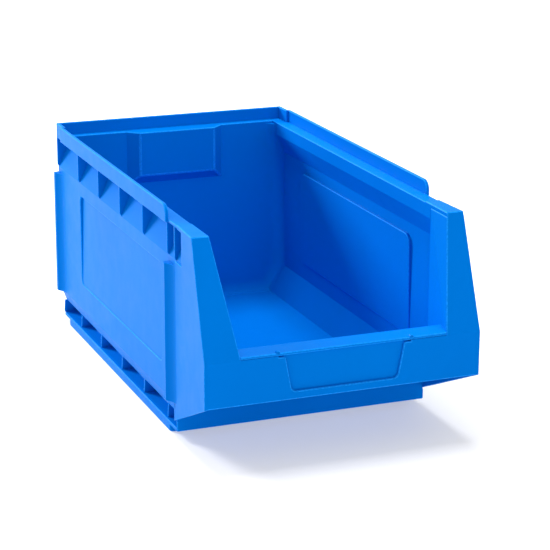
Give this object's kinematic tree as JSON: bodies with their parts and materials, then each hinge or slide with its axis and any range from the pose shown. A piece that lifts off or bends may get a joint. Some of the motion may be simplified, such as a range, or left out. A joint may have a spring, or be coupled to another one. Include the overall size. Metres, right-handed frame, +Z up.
{
  "type": "stackable storage bin",
  "caption": "Open-fronted stackable storage bin with a stacking rim, guide rails and a label recess.",
  "frame": {"origin": "centre of the bounding box at the level of the runners that the bin stands on", "axes": "+Z up, -Y towards the open front, +Y towards the back wall, +X to the right as seen from the front"},
  "size_m": [0.207, 0.3754, 0.1715],
  "materials": {
    "bin_plastic": "glossy moulded polypropylene"
  },
  "bodies": {
    "root": {"floor_pan": "bin_plastic", "front_scoop": "bin_plastic", "front_apron": "bin_plastic", "label_panel": "bin_plastic", "front_lip": "bin_plastic", "label_nubs": "bin_plastic", "foot_front": "bin_plastic", "foot_rear": "bin_plastic", "back_wall": "bin_plastic", "grip_pocket": "bin_plastic", "back_ledge": "bin_plastic", "back_flange": "bin_plastic", "back_gussets": "bin_plastic", "left_side_wall": "bin_plastic", "right_side_wall": "bin_plastic", "left_side_panel": "bin_plastic", "right_side_panel": "bin_plastic", "left_lower_wall": "bin_plastic", "right_lower_wall": "bin_plastic", "left_shoulder": "bin_plastic", "right_shoulder": "bin_plastic", "left_ledge": "bin_plastic", "right_ledge": "bin_plastic", "left_flange": "bin_plastic", "right_flange": "bin_plastic", "left_rear_corner": "bin_plastic", "right_rear_corner": "bin_plastic", "left_upper_gussets": "bin_plastic", "right_upper_gussets": "bin_plastic", "left_lower_gussets": "bin_plastic", "right_lower_gussets": "bin_plastic", "left_foot_flange": "bin_plastic", "right_foot_flange": "bin_plastic", "left_runner": "bin_plastic", "right_runner": "bin_plastic", "left_front_rail": "bin_plastic", "right_front_rail": "bin_plastic", "left_rear_rail": "bin_plastic", "right_rear_rail": "bin_plastic", "left_post_side": "bin_plastic", "right_post_side": "bin_plastic", "left_post_face": "bin_plastic", "right_post_face": "bin_plastic", "left_post_return": "bin_plastic", "right_post_return": "bin_plastic", "left_post_cap": "bin_plastic", "right_post_cap": "bin_plastic"}
  },
  "joints": []
}
